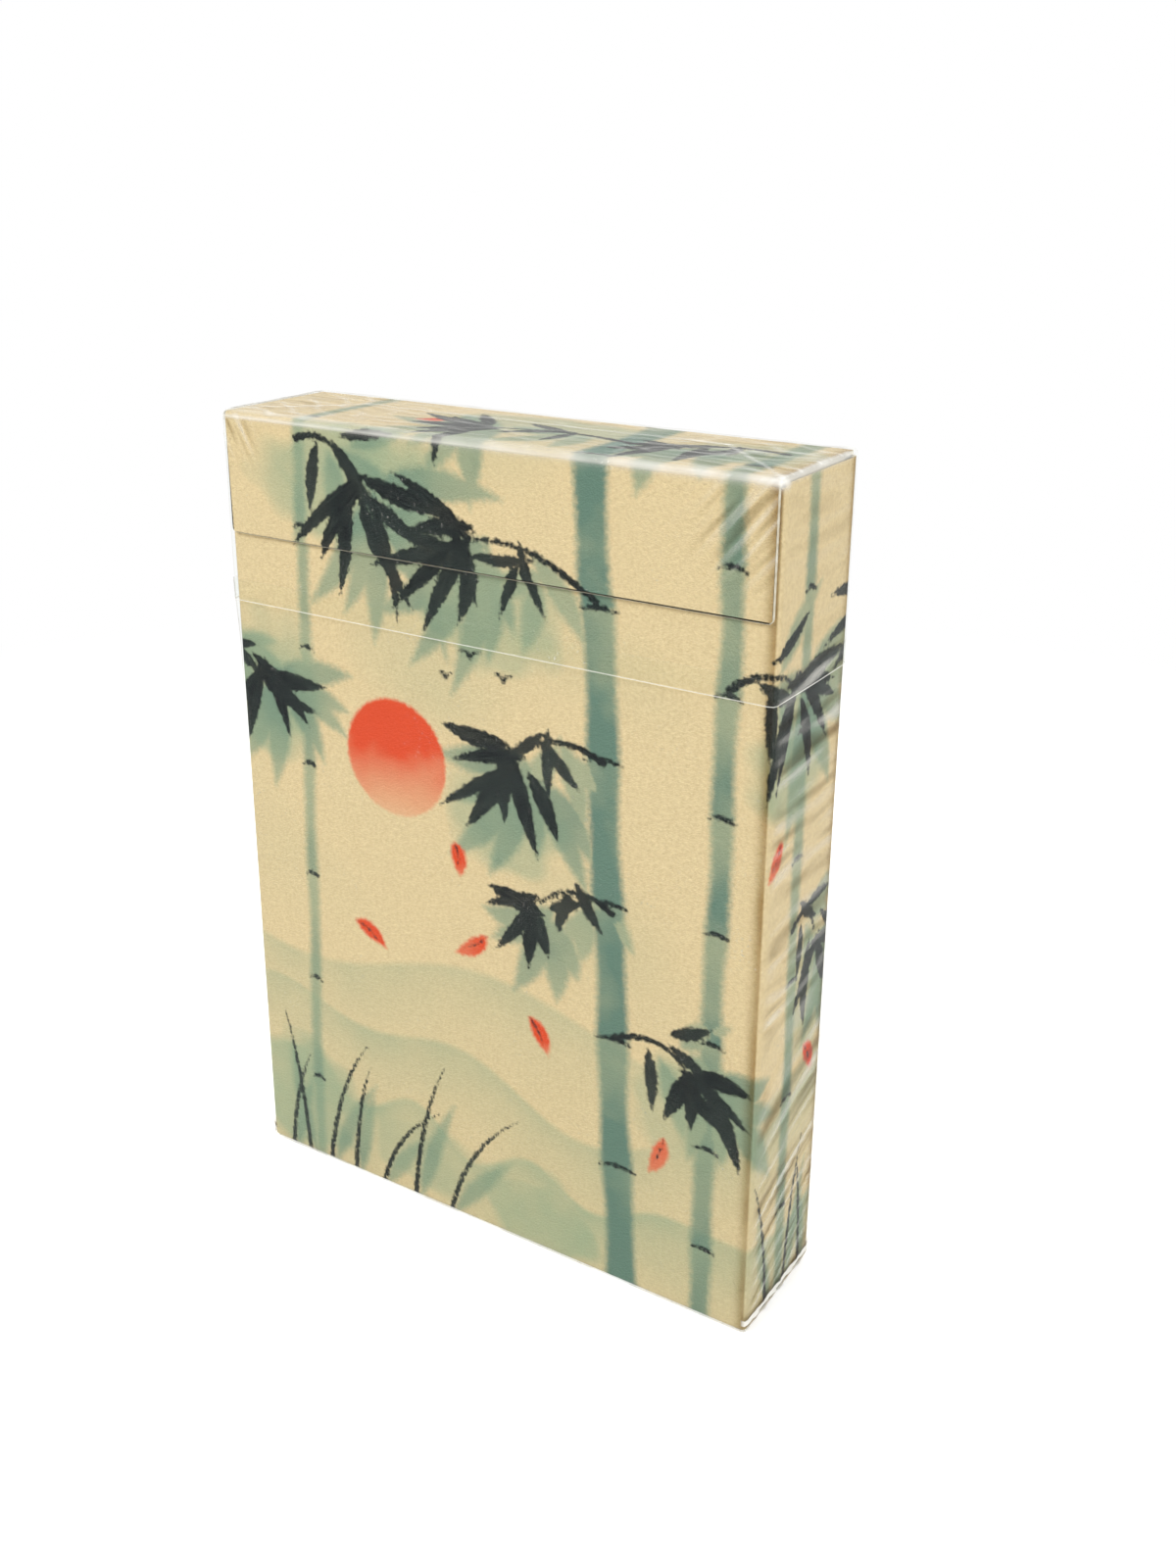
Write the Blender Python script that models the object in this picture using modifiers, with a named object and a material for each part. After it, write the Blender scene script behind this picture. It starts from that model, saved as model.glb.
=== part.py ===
"""A deck of playing cards in its folded board carton, sealed in clear film.

The carton is one creased blank: a glued sleeve with a closed bottom, two dust flaps and a
lid whose front flap lies outside the front panel.  The film is a sleeve with a bonded tear
tape and a cap that lifts away above the tape.  Metres, +Z up, front face towards -Y.
"""
import bpy
import bmesh
from mathutils import Vector

# Cards
SUITS = ("spades", "hearts", "clubs", "diamonds")
RANKS = ("ace", "2", "3", "4", "5", "6", "7", "8", "9", "10", "jack", "queen", "king")
JOKERS = ("joker_red", "joker_black")
CARD_WIDTH = 0.0630
CARD_HEIGHT = 0.0880
CARD_THICKNESS = 0.000255
CARD_AIR = 0.00001
CARD_CORNER = 0.0035

# Carton board and its folds
BOARD = 0.00035
CREASE_RADIUS = 0.0005
SIDE_PLAY = 0.00075
DEPTH_PLAY = 0.00015
SEAT_GAP = 0.00005
HEAD_ROOM = 0.0004
FOLD_GAP = 0.00006
GLUE_FLAP_WIDTH = 0.0110
GLUE_FLAP_TAPER = 0.0040
BOTTOM_FLAP_LENGTH = 0.0140
BOTTOM_FLAP_TAPER = 0.0030

# Lid
FRONT_FLAP_LENGTH = 0.0130
FRONT_FLAP_CORNER = 0.0005
LID_SIDE_INSET = 0.0004
HINGE_SETBACK = 0.0001

# Dust flaps
DUST_FLAP_LENGTH = 0.0140
DUST_FLAP_FRONT_GAP = 0.00025
DUST_FLAP_REAR_GAP = 0.0016
DUST_FLAP_TAPER = 0.0082
DUST_FLAP_CORNER = 0.0012

# Film and tear tape
FILM = 0.00006
FILM_GAP = 0.00008
END_FOLD_REACH = 0.0110
TAPE_WIDTH = 0.0025
TAPE_THICKNESS = 0.00005
TAPE_TOP_BELOW_LID = 0.0181
CAP_CLEARANCE = 0.0001
BACK_FILM_BELOW_CREASE = 0.0008

# Facets on rounded edges
CARD_STEPS = 4
CREASE_STEPS = 3

# Heights, from the surface the deck stands on
FILM_BOTTOM = FILM
CARTON_BOTTOM = FILM_BOTTOM + FILM + FILM_GAP
FLOOR_TOP = CARTON_BOTTOM + 2 * BOARD
DECK_BOTTOM = FLOOR_TOP + SEAT_GAP
DECK_TOP = DECK_BOTTOM + CARD_HEIGHT
DUST_FLAP_BOTTOM = DECK_TOP + HEAD_ROOM
DUST_FLAP_TOP = DUST_FLAP_BOTTOM + BOARD
LID_BOTTOM = DUST_FLAP_TOP + FOLD_GAP
LID_TOP = LID_BOTTOM + BOARD
FILM_TOP = LID_TOP + FILM_GAP + FILM
TAPE_TOP = LID_TOP - TAPE_TOP_BELOW_LID
TAPE_BOTTOM = TAPE_TOP - TAPE_WIDTH

# Half widths
CARTON_INNER_X = CARD_WIDTH / 2 + SIDE_PLAY
CARTON_OUTER_X = CARTON_INNER_X + BOARD
FILM_OUTER_X = CARTON_OUTER_X + FILM_GAP + FILM

# Depths: the front flap stands outside the front panel, so the carton sits back of centre
CARD_NAMES = [f"card_{name}" for name in JOKERS]
CARD_NAMES += [f"card_{suit}_{rank}" for suit in SUITS for rank in RANKS]
CARD_PITCH = CARD_THICKNESS + CARD_AIR
CARTON_DEPTH = len(CARD_NAMES) * CARD_PITCH + 2 * DEPTH_PLAY + 2 * BOARD
FLAP_STANDOFF = FOLD_GAP + BOARD
FILM_STANDOFF = FILM_GAP + FILM
FILM_OUTER_Y = (CARTON_DEPTH + FLAP_STANDOFF + 2 * FILM_STANDOFF) / 2
LID_FRONT = -FILM_OUTER_Y + FILM_STANDOFF
CARTON_FRONT = LID_FRONT + FLAP_STANDOFF
CARTON_BACK = CARTON_FRONT + CARTON_DEPTH
INNER_FRONT = CARTON_FRONT + BOARD
INNER_BACK = CARTON_BACK - BOARD

# Spare length on cutters, so that no cut ends on a face
OVERRUN = 0.005


def clear_scene():
    for thing in list(bpy.data.objects):
        bpy.data.objects.remove(thing)


def new_collection(name):
    collection = bpy.data.collections.new(name)
    bpy.context.scene.collection.children.link(collection)
    return collection


def finish(name, colour, roughness, alpha=1.0):
    material = bpy.data.materials.new(name)
    material.use_nodes = True
    shader = material.node_tree.nodes["Principled BSDF"]
    shader.inputs["Base Color"].default_value = (*colour, 1.0)
    shader.inputs["Roughness"].default_value = roughness
    shader.inputs["Metallic"].default_value = 0.0
    shader.inputs["Alpha"].default_value = alpha
    return material


def place(name, mesh, material, collection, origin, parent=None):
    """Put a mesh made in world coordinates on an object whose origin lies at `origin`."""
    piece = bpy.data.objects.new(name, mesh)
    collection.objects.link(piece)
    piece.data.materials.append(material)
    piece.parent = parent
    base = parent.matrix_world.translation if parent else Vector()
    piece.location = Vector(origin) - base
    bpy.context.view_layer.update()
    return piece


def mesh_from(bm, name, origin):
    bmesh.ops.translate(bm, vec=-Vector(origin), verts=bm.verts)
    bmesh.ops.recalc_face_normals(bm, faces=bm.faces)
    mesh = bpy.data.meshes.new(name)
    bm.to_mesh(mesh)
    bm.free()
    return mesh


def box_bmesh(low, high):
    bm = bmesh.new()
    bmesh.ops.create_cube(bm, size=1.0)
    bmesh.ops.translate(bm, vec=(0.5, 0.5, 0.5), verts=bm.verts)
    bmesh.ops.scale(bm, vec=Vector(high) - Vector(low), verts=bm.verts)
    bmesh.ops.translate(bm, vec=low, verts=bm.verts)
    return bm


def round_edges(bm, edges, radius, steps):
    bmesh.ops.bevel(
        bm, geom=edges, offset=radius, segments=steps, profile=0.5, affect="EDGES", clamp_overlap=True
    )


def folded_shell(name, low, high, open_sides, radius, wall, material, collection, origin, parent=None):
    """A thin box with some sides left off, rounded where two walls meet, thickened inwards."""
    bm = box_bmesh(low, high)
    bm.normal_update()
    left_off = [f for f in bm.faces if any(f.normal.dot(Vector(side)) > 0.9 for side in open_sides)]
    bmesh.ops.delete(bm, geom=left_off, context="FACES")
    folds = [edge for edge in bm.edges if len(edge.link_faces) == 2]
    round_edges(bm, folds, radius, CREASE_STEPS)
    shell = place(name, mesh_outwards(bm, name, origin), material, collection, origin, parent)
    thicken(shell, wall)
    return shell


def mesh_outwards(bm, name, origin):
    """Like mesh_from, for an open sheet whose faces already point out."""
    bmesh.ops.translate(bm, vec=-Vector(origin), verts=bm.verts)
    mesh = bpy.data.meshes.new(name)
    bm.to_mesh(mesh)
    bm.free()
    return mesh


def thicken(piece, wall):
    solid = piece.modifiers.new("Wall", "SOLIDIFY")
    solid.thickness = wall
    solid.offset = -1.0
    solid.use_even_offset = True
    solid.use_rim = True


def tool_box(name, low, high, collection):
    bm = box_bmesh(low, high)
    return tool(name, bm, collection)


def tool(name, bm, collection):
    piece = bpy.data.objects.new(name, mesh_from(bm, name, (0, 0, 0)))
    collection.objects.link(piece)
    piece.hide_render = True
    piece.display_type = "WIRE"
    return piece


def combine(piece, other, operation):
    step = piece.modifiers.new(other.name, "BOOLEAN")
    step.operation = operation
    step.solver = "EXACT"
    step.object = other


def tapered_slab(low, high, narrow_axis, far_side, inset_low, inset_high):
    """A slab whose far end is narrower: the edges there move in along `narrow_axis`."""
    bm = box_bmesh(low, high)
    long_axis = 3 - narrow_axis - slab_thin_axis(low, high)
    end = high[long_axis] if far_side > 0 else low[long_axis]
    for vert in bm.verts:
        if abs(vert.co[long_axis] - end) > BOARD / 10:
            continue
        if vert.co[narrow_axis] < (low[narrow_axis] + high[narrow_axis]) / 2:
            vert.co[narrow_axis] += inset_low
        else:
            vert.co[narrow_axis] -= inset_high
    return bm


def slab_thin_axis(low, high):
    sizes = [h - l for l, h in zip(low, high)]
    return sizes.index(min(sizes))


def make_cards(parts, stock):
    """The cards stand on edge in a packet, faces to the front, the jokers first."""
    seat = bpy.data.objects.new("deck_seat", None)
    parts.objects.link(seat)
    seat.location = (0.0, INNER_FRONT + DEPTH_PLAY, DECK_BOTTOM)
    bpy.context.view_layer.update()
    half = CARD_WIDTH / 2
    bm = box_bmesh((-half, 0.0, 0.0), (half, CARD_THICKNESS, CARD_HEIGHT))
    corners = [e for e in bm.edges if abs(e.verts[0].co.y - e.verts[1].co.y) > CARD_THICKNESS / 2]
    round_edges(bm, corners, CARD_CORNER, CARD_STEPS)
    mesh = mesh_from(bm, "card", (0, 0, 0))
    mesh.materials.append(stock)
    for index, name in enumerate(CARD_NAMES):
        card = bpy.data.objects.new(name, mesh)
        parts.objects.link(card)
        card.parent = seat
        card.location = (0.0, (index + 0.5) * CARD_PITCH - CARD_THICKNESS / 2, 0.0)


def make_carton(parts, cutters, board):
    """The glued sleeve: four walls and a bottom, with the flaps that are glued down inside."""
    wall_top = LID_BOTTOM - FOLD_GAP
    carton = folded_shell(
        "carton",
        (-CARTON_OUTER_X, CARTON_FRONT, CARTON_BOTTOM),
        (CARTON_OUTER_X, CARTON_BACK, wall_top),
        [(0, 0, 1)],
        CREASE_RADIUS,
        BOARD,
        board,
        parts,
        (0, 0, CARTON_BOTTOM),
    )
    # The front panel ends under the lid's rounded fold, the side walls under the dust flaps
    front_step = tool_box(
        "front_wall_top",
        (-CARTON_OUTER_X - OVERRUN, CARTON_FRONT - OVERRUN, LID_BOTTOM - CREASE_RADIUS),
        (CARTON_OUTER_X + OVERRUN, INNER_FRONT + 2 * CREASE_RADIUS, wall_top + OVERRUN),
        cutters,
    )
    combine(carton, front_step, "DIFFERENCE")
    side_top = DUST_FLAP_BOTTOM - FOLD_GAP
    for side, label in ((-1, "left"), (1, "right")):
        reach = sorted((side * (CARTON_INNER_X - OVERRUN), side * (CARTON_OUTER_X + OVERRUN)))
        step = tool_box(
            f"{label}_wall_top",
            (reach[0], INNER_FRONT + CREASE_RADIUS, side_top),
            (reach[1], INNER_BACK - CREASE_RADIUS, wall_top + OVERRUN),
            cutters,
        )
        combine(carton, step, "DIFFERENCE")
        ends = sorted((side * (CARTON_OUTER_X - BOARD / 2), side * (CARTON_OUTER_X - BOTTOM_FLAP_LENGTH)))
        flap = tapered_slab(
            (ends[0], INNER_FRONT + CREASE_RADIUS, CARTON_BOTTOM + BOARD / 2),
            (ends[1], INNER_BACK - CREASE_RADIUS, FLOOR_TOP),
            1,
            -side,
            BOTTOM_FLAP_TAPER,
            BOTTOM_FLAP_TAPER,
        )
        combine(carton, tool(f"{label}_bottom_flap", flap, cutters), "UNION")
    glue_flap = tapered_slab(
        (-CARTON_OUTER_X + BOARD / 2, INNER_BACK - GLUE_FLAP_WIDTH, FLOOR_TOP + CREASE_RADIUS),
        (-CARTON_INNER_X + BOARD, INNER_BACK - CREASE_RADIUS, side_top - CREASE_RADIUS),
        2,
        -1,
        GLUE_FLAP_TAPER,
        GLUE_FLAP_TAPER,
    )
    combine(carton, tool("glue_flap", glue_flap, cutters), "UNION")
    return carton


def make_lid(parts, board, carton):
    """Top panel and front flap in one folded strip, hinged on the crease at the back."""
    hinge = (0.0, CARTON_BACK, LID_BOTTOM)
    bm = bmesh.new()
    rear = CARTON_BACK - HINGE_SETBACK
    half_width = CARTON_OUTER_X - LID_SIDE_INSET
    ends = [bm.verts.new((side * half_width, rear, LID_TOP)) for side in (1, -1)]
    edge = bm.edges.new(ends)
    for step in ((0.0, LID_FRONT - rear, 0.0), (0.0, 0.0, -FRONT_FLAP_LENGTH)):
        grown = bmesh.ops.extrude_edge_only(bm, edges=[edge])["geom"]
        moved = [item for item in grown if isinstance(item, bmesh.types.BMVert)]
        bmesh.ops.translate(bm, vec=step, verts=moved)
        edge = next(e for e in bm.edges if set(e.verts) == set(moved))
    lower = list(edge.verts)
    bmesh.ops.bevel(
        bm, geom=lower, offset=FRONT_FLAP_CORNER, segments=CREASE_STEPS, profile=0.5, affect="VERTICES"
    )
    fold = [e for e in bm.edges if len(e.link_faces) == 2]
    round_edges(bm, fold, CREASE_RADIUS, CREASE_STEPS)
    bmesh.ops.recalc_face_normals(bm, faces=bm.faces)
    if max(bm.faces, key=lambda f: f.calc_area()).normal.z < 0:
        bmesh.ops.reverse_faces(bm, faces=bm.faces)
    lid = place("lid", mesh_outwards(bm, "lid", hinge), board, parts, hinge, carton)
    thicken(lid, BOARD)
    return lid


def make_dust_flaps(parts, board, carton):
    """A flap folds in over the deck from the top of each side wall, under the lid."""
    rear = INNER_BACK - DUST_FLAP_REAR_GAP
    front = INNER_FRONT + DUST_FLAP_FRONT_GAP
    for side, label in ((-1, "left"), (1, "right")):
        hinge = (side * CARTON_INNER_X, 0.0, DUST_FLAP_BOTTOM)
        reach = sorted((side * (CARTON_INNER_X - HINGE_SETBACK), side * (CARTON_INNER_X - DUST_FLAP_LENGTH)))
        bm = tapered_slab(
            (reach[0], front, DUST_FLAP_BOTTOM),
            (reach[1], rear, DUST_FLAP_TOP),
            1,
            -side,
            0.0,
            DUST_FLAP_TAPER,
        )
        tip = side * (CARTON_INNER_X - DUST_FLAP_LENGTH)
        corners = [
            e
            for e in bm.edges
            if abs(e.verts[0].co.z - e.verts[1].co.z) > BOARD / 2 and abs(e.verts[0].co.x - tip) < BOARD
        ]
        round_edges(bm, corners, DUST_FLAP_CORNER, CREASE_STEPS)
        name = f"dust_flap_{label}"
        place(name, mesh_from(bm, name, hinge), board, parts, hinge, carton)


def make_film_sleeve(parts, cutters, film, carton):
    """The film below the tear tape, with the back panel that runs up to the lid's crease."""
    low = (-FILM_OUTER_X, -FILM_OUTER_Y, FILM_BOTTOM)
    high = (FILM_OUTER_X, FILM_OUTER_Y, LID_BOTTOM - BACK_FILM_BELOW_CREASE)
    sleeve = folded_shell(
        "film_sleeve", low, high, [(0, 0, 1)], CREASE_RADIUS, FILM, film, parts, (0, 0, 0), carton
    )
    torn_away = tool_box(
        "film_above_tape",
        (low[0] - OVERRUN, low[1] - OVERRUN, TAPE_TOP),
        (high[0] + OVERRUN, back_film_front(), high[2] + OVERRUN),
        cutters,
    )
    combine(sleeve, torn_away, "DIFFERENCE")
    combine(sleeve, end_fold("bottom_end_fold", 0.0, FILM_BOTTOM + FILM / 2, cutters), "UNION")
    # The tape is bonded round the sleeve, on the outside, as one band
    spread = Vector((TAPE_THICKNESS, TAPE_THICKNESS, 0.0))
    band = folded_shell(
        "tear_tape_band",
        Vector((low[0], low[1], TAPE_BOTTOM)) - spread,
        Vector((high[0], high[1], TAPE_TOP)) + spread,
        [(0, 0, 1), (0, 0, -1)],
        CREASE_RADIUS + TAPE_THICKNESS,
        TAPE_THICKNESS + FILM / 2,
        film,
        cutters,
        (0, 0, 0),
    )
    band.hide_render = True
    band.display_type = "WIRE"
    combine(sleeve, band, "UNION")


def back_film_front():
    """Where the sleeve's back panel ends on the side walls, just before its rounded corner."""
    return FILM_OUTER_Y - FILM_STANDOFF - 2 * CREASE_RADIUS


def end_fold(name, low_z, high_z, collection):
    """The front flap of the envelope fold that closes an end of the film, with mitred sides."""
    front = -FILM_OUTER_Y + CREASE_RADIUS
    half = FILM_OUTER_X - CREASE_RADIUS
    flap = tapered_slab(
        (-half, front, low_z), (half, front + END_FOLD_REACH, high_z), 0, 1, END_FOLD_REACH, END_FOLD_REACH
    )
    return tool(name, flap, collection)


def make_film_cap(parts, cutters, film, lid):
    """The film above the tear tape: top, front and both sides, lifted off as one piece."""
    low = (-FILM_OUTER_X, -FILM_OUTER_Y, TAPE_TOP + CAP_CLEARANCE)
    high = (FILM_OUTER_X, back_film_front() - CAP_CLEARANCE, FILM_TOP)
    origin = (0.0, 0.0, FILM_TOP)
    open_sides = [(0, 0, -1), (0, 1, 0)]
    # The lid's edges are cut square, so the film turns over them on its own standoff
    cap = folded_shell("film_cap", low, high, open_sides, FILM_STANDOFF, FILM, film, parts, origin, lid)
    combine(cap, end_fold("top_end_fold", FILM_TOP - FILM / 2, FILM_TOP + FILM, cutters), "UNION")


clear_scene()
deck_parts = new_collection("playing_card_deck")
deck_cutters = new_collection("cutters")
printed_board = finish("printed board", (0.74, 0.62, 0.36), 0.55)
card_stock = finish("coated card stock", (0.86, 0.85, 0.82), 0.35)
clear_film = finish("clear film", (0.95, 0.96, 0.95), 0.08, alpha=0.25)

make_cards(deck_parts, card_stock)
carton_piece = make_carton(deck_parts, deck_cutters, printed_board)
lid_piece = make_lid(deck_parts, printed_board, carton_piece)
make_dust_flaps(deck_parts, printed_board, carton_piece)
make_film_sleeve(deck_parts, deck_cutters, clear_film, carton_piece)
make_film_cap(deck_parts, deck_cutters, clear_film, lid_piece)
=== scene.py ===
"""A deck of playing cards in a printed board carton, sealed in clear film with a tear tape."""

import math
import random

import bmesh
import bpy
import numpy as np
from mathutils import Matrix, Vector


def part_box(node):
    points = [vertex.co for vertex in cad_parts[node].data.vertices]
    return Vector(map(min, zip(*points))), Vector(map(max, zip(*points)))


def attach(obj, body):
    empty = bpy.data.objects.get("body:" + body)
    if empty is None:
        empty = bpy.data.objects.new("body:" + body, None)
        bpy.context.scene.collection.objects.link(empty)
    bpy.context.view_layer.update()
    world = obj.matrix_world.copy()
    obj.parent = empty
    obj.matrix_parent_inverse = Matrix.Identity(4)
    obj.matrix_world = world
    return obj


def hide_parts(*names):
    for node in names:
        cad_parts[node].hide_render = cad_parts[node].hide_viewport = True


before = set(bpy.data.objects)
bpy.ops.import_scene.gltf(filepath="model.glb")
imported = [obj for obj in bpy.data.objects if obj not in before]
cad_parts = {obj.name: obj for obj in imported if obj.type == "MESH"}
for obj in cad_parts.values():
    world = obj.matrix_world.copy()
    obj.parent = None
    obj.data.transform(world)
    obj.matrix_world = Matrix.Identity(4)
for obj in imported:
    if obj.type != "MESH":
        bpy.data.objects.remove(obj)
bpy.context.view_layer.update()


# The cards: fifty-four sheets of coated card, two papers glued on a dark core and die cut.
# Boxed, only their stacked edges can be seen, and those only with the lid open.

def linear(hex_colour):
    """An sRGB hex colour as a linear RGBA tuple."""
    channels = [int(hex_colour[i:i + 2], 16) / 255 for i in (1, 3, 5)]
    return tuple(c / 12.92 if c <= 0.04045 else ((c + 0.055) / 1.055) ** 2.4 for c in channels) + (1.0,)


def node(tree, kind, inputs=None, **settings):
    """Add a node: settings are its own properties, inputs are sockets to link or values to set."""
    made = tree.nodes.new("ShaderNode" + kind)
    for key, value in settings.items():
        setattr(made, key, value)
    for key, value in (inputs or {}).items():
        if isinstance(value, bpy.types.NodeSocket):
            tree.links.new(value, made.inputs[key])
        else:
            made.inputs[key].default_value = value
    return made


def new_material(name):
    """An empty node material and its tree."""
    material = bpy.data.materials.new(name)
    material.use_nodes = True
    material.node_tree.nodes.clear()
    return material, material.node_tree


def show(piece, material):
    """Give a piece one material."""
    piece.data.materials.clear()
    piece.data.materials.append(material)


MM = 0.001
CARD_FACE = "#F1EEE6"
CARD_CUT_EDGE = "#DDD9CE"
CARD_CORE = "#6F757C"
CARD_DIMPLE = 0.45 * MM
CARD_DIMPLE_DEPTH = 0.02 * MM

cards = [piece for name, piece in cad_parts.items() if name.startswith("card_")]
first_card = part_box("card_joker_red")
card_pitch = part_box("card_joker_black")[0].y - first_card[0].y
card_thickness = first_card[1].y - first_card[0].y

# Coated card stock: smooth air-dimpled faces, and cut edges that show a thin dark core
card_stock, tree = new_material("coated card stock")
place = node(tree, "TexCoord")
along = node(tree, "SeparateXYZ", {0: place.outputs["Object"]})
depth = node(tree, "MapRange", {0: along.outputs["Y"], 1: first_card[0].y,
                                2: first_card[0].y + card_pitch}, clamp=False)
in_card = node(tree, "Math", {0: depth.outputs[0]}, operation="FRACT")
which_card = node(tree, "Math", {0: depth.outputs[0]}, operation="FLOOR")
tint = node(tree, "TexWhiteNoise", {"W": which_card.outputs[0]}, noise_dimensions="1D")
core_place = card_thickness / card_pitch / 2
off_core = node(tree, "Math", {0: in_card.outputs[0], 1: core_place}, operation="SUBTRACT")
off_core = node(tree, "Math", {0: off_core.outputs[0]}, operation="ABSOLUTE")
core = node(tree, "MapRange", {0: off_core.outputs[0], 1: 0.06, 2: 0.16, 3: 0.55, 4: 0.0})
cut_edge = node(tree, "Mix", {"Factor": core.outputs[0], "A": linear(CARD_CUT_EDGE),
                              "B": linear(CARD_CORE)}, data_type="RGBA")
shade = node(tree, "MapRange", {0: tint.outputs[0], 3: 0.86, 4: 1.04})
cut_edge = node(tree, "HueSaturation", {"Color": cut_edge.outputs["Result"], "Value": shade.outputs[0]})
facing = node(tree, "SeparateXYZ", {0: place.outputs["Normal"]})
facing = node(tree, "Math", {0: facing.outputs["Y"]}, operation="ABSOLUTE")
card_colour = node(tree, "Mix", {"Factor": facing.outputs[0], "A": cut_edge.outputs["Color"],
                                 "B": linear(CARD_FACE)}, data_type="RGBA")
dimples = node(tree, "TexVoronoi", {"Vector": place.outputs["Object"], "Scale": 1 / CARD_DIMPLE})
relief = node(tree, "Bump", {"Height": dimples.outputs["Distance"], "Strength": 0.15,
                             "Distance": CARD_DIMPLE_DEPTH})
sheen = node(tree, "MapRange", {0: facing.outputs[0], 3: 0.75, 4: 0.32})
shader = node(tree, "BsdfPrincipled", {"Base Color": card_colour.outputs["Result"],
                                       "Roughness": sheen.outputs[0], "Normal": relief.outputs[0]})
node(tree, "OutputMaterial", {"Surface": shader.outputs[0]})
for card in cards:
    show(card, card_stock)


# The carton: one blank of white folding board, die cut, creased and glued up its back corner.
# The board itself is bleached pulp, so the inside and the cut edges are a dull fibrous white.

RAW_BOARD = "#E4DFD2"
RAW_BOARD_SHADE = "#CFC5AC"
FIBRE = 0.5 * MM
FIBRE_DEPTH = 0.03 * MM

# Bleached folding board: dull and soft, with a faint mottle of short fibres
raw_board, tree = new_material("bleached folding board")
place = node(tree, "TexCoord")
fibres = node(tree, "TexNoise", {"Vector": place.outputs["Object"], "Scale": 1 / FIBRE, "Detail": 4.0})
tone = node(tree, "MapRange", {0: fibres.outputs[0], 1: 0.35, 2: 0.7})
board_colour = node(tree, "Mix", {"Factor": tone.outputs[0], "A": linear(RAW_BOARD),
                                  "B": linear(RAW_BOARD_SHADE)}, data_type="RGBA")
relief = node(tree, "Bump", {"Height": fibres.outputs[0], "Strength": 0.3, "Distance": FIBRE_DEPTH})
shader = node(tree, "BsdfPrincipled", {"Base Color": board_colour.outputs["Result"], "Roughness": 0.85,
                                       "Normal": relief.outputs[0]})
node(tree, "OutputMaterial", {"Surface": shader.outputs[0]})
show(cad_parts["carton"], raw_board)


# The printed face of the carton: a grained art paper laminated on the board before it is cut.
# It is printed in sage, blue-black and coral, and runs round the creases without a break.

PRINT_PROUD = 0.03 * MM
PRINT_DEPTH = 0.09 * MM
PRINT_BELOW_CUT = 0.05 * MM
CREASE_RADIUS = 0.5 * MM
FRONT_MESH = 0.32 * MM
BACK_MESH = 0.42 * MM
NEAR_PANEL = 0.3
SIDES = {"left": (-1, 0, 0), "right": (1, 0, 0), "front": (0, -1, 0), "back": (0, 1, 0),
         "bottom": (0, 0, -1), "top": (0, 0, 1)}

carton_low, carton_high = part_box("carton")
lid_low, lid_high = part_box("lid")
width = carton_high.x - carton_low.x
depth_y = carton_high.y - carton_low.y
height = lid_high.z - carton_low.z


def box_sides(low, high, sides):
    """A bmesh of the named sides of a box, one square face each."""
    bm = bmesh.new()
    bmesh.ops.create_cube(bm, size=1.0)
    bmesh.ops.scale(bm, vec=high - low, verts=bm.verts)
    bmesh.ops.translate(bm, vec=(low + high) / 2, verts=bm.verts)
    bm.normal_update()
    wanted = [Vector(SIDES[side]) for side in sides]
    spare = [face for face in bm.faces if not any(face.normal.dot(side) > 0.9 for side in wanted)]
    bmesh.ops.delete(bm, geom=spare, context="FACES")
    return bm


def trim(bm, planes, spare=None):
    """Cut a sheet along planes, each an axis and a level, and take off any faces that are spare."""
    for axis, level in planes:
        way = Vector([float(axis == index) for index in range(3)])
        bmesh.ops.bisect_plane(bm, geom=bm.verts[:] + bm.edges[:] + bm.faces[:], plane_co=way * level,
                               plane_no=way)
    if spare:
        gone = [face for face in bm.faces if spare(face.calc_center_median())]
        bmesh.ops.delete(bm, geom=gone, context="FACES")


def back_with_board(bm, thickness):
    """Close an open sheet with a second face, set inwards, that stays coarse."""
    grown = bmesh.ops.extrude_face_region(bm, geom=bm.faces[:], use_keep_orig=True)["geom"]
    behind = [item for item in grown if isinstance(item, bmesh.types.BMVert)]
    bm.normal_update()
    for vert in behind:
        ways = []
        for face in vert.link_faces:
            if face in grown and all(face.normal.dot(way) < 0.9 for way in ways):
                ways.append(face.normal.copy())
        vert.co -= sum(ways, Vector()) * thickness
    bmesh.ops.recalc_face_normals(bm, faces=bm.faces)


def cut_fine(bm, spacing, on_outside):
    """Cut the outer faces into a fine grid, one direction after the other."""
    for axis in range(3):
        runs = {}
        for edge in bm.edges:
            step = edge.verts[1].co - edge.verts[0].co
            if abs(step[axis]) > 0.999 * step.length and all(on_outside(vert.co) for vert in edge.verts):
                runs.setdefault(round(step.length / (0.01 * MM)), []).append(edge)
        for length, edges in runs.items():
            cuts = round(length * 0.01 * MM / spacing) - 1
            if cuts > 0:
                bmesh.ops.subdivide_edges(bm, edges=edges, cuts=cuts, use_grid_fill=True)


def rounded(points, core_low, core_high):
    """Pull points on a sharp box on to one with rounded edges; also gives the way each one faces."""
    core = np.clip(points, core_low, core_high)
    away = points - core
    reach = np.abs(away).max(axis=1, keepdims=True)
    facing = away / np.maximum(np.linalg.norm(away, axis=1, keepdims=True), 1e-9)
    return core + facing * reach, facing


def mesh_points(mesh):
    """The places of a mesh's vertices, one row each."""
    points = np.empty(len(mesh.vertices) * 3)
    mesh.vertices.foreach_get("co", points)
    return points.reshape(-1, 3)


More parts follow.
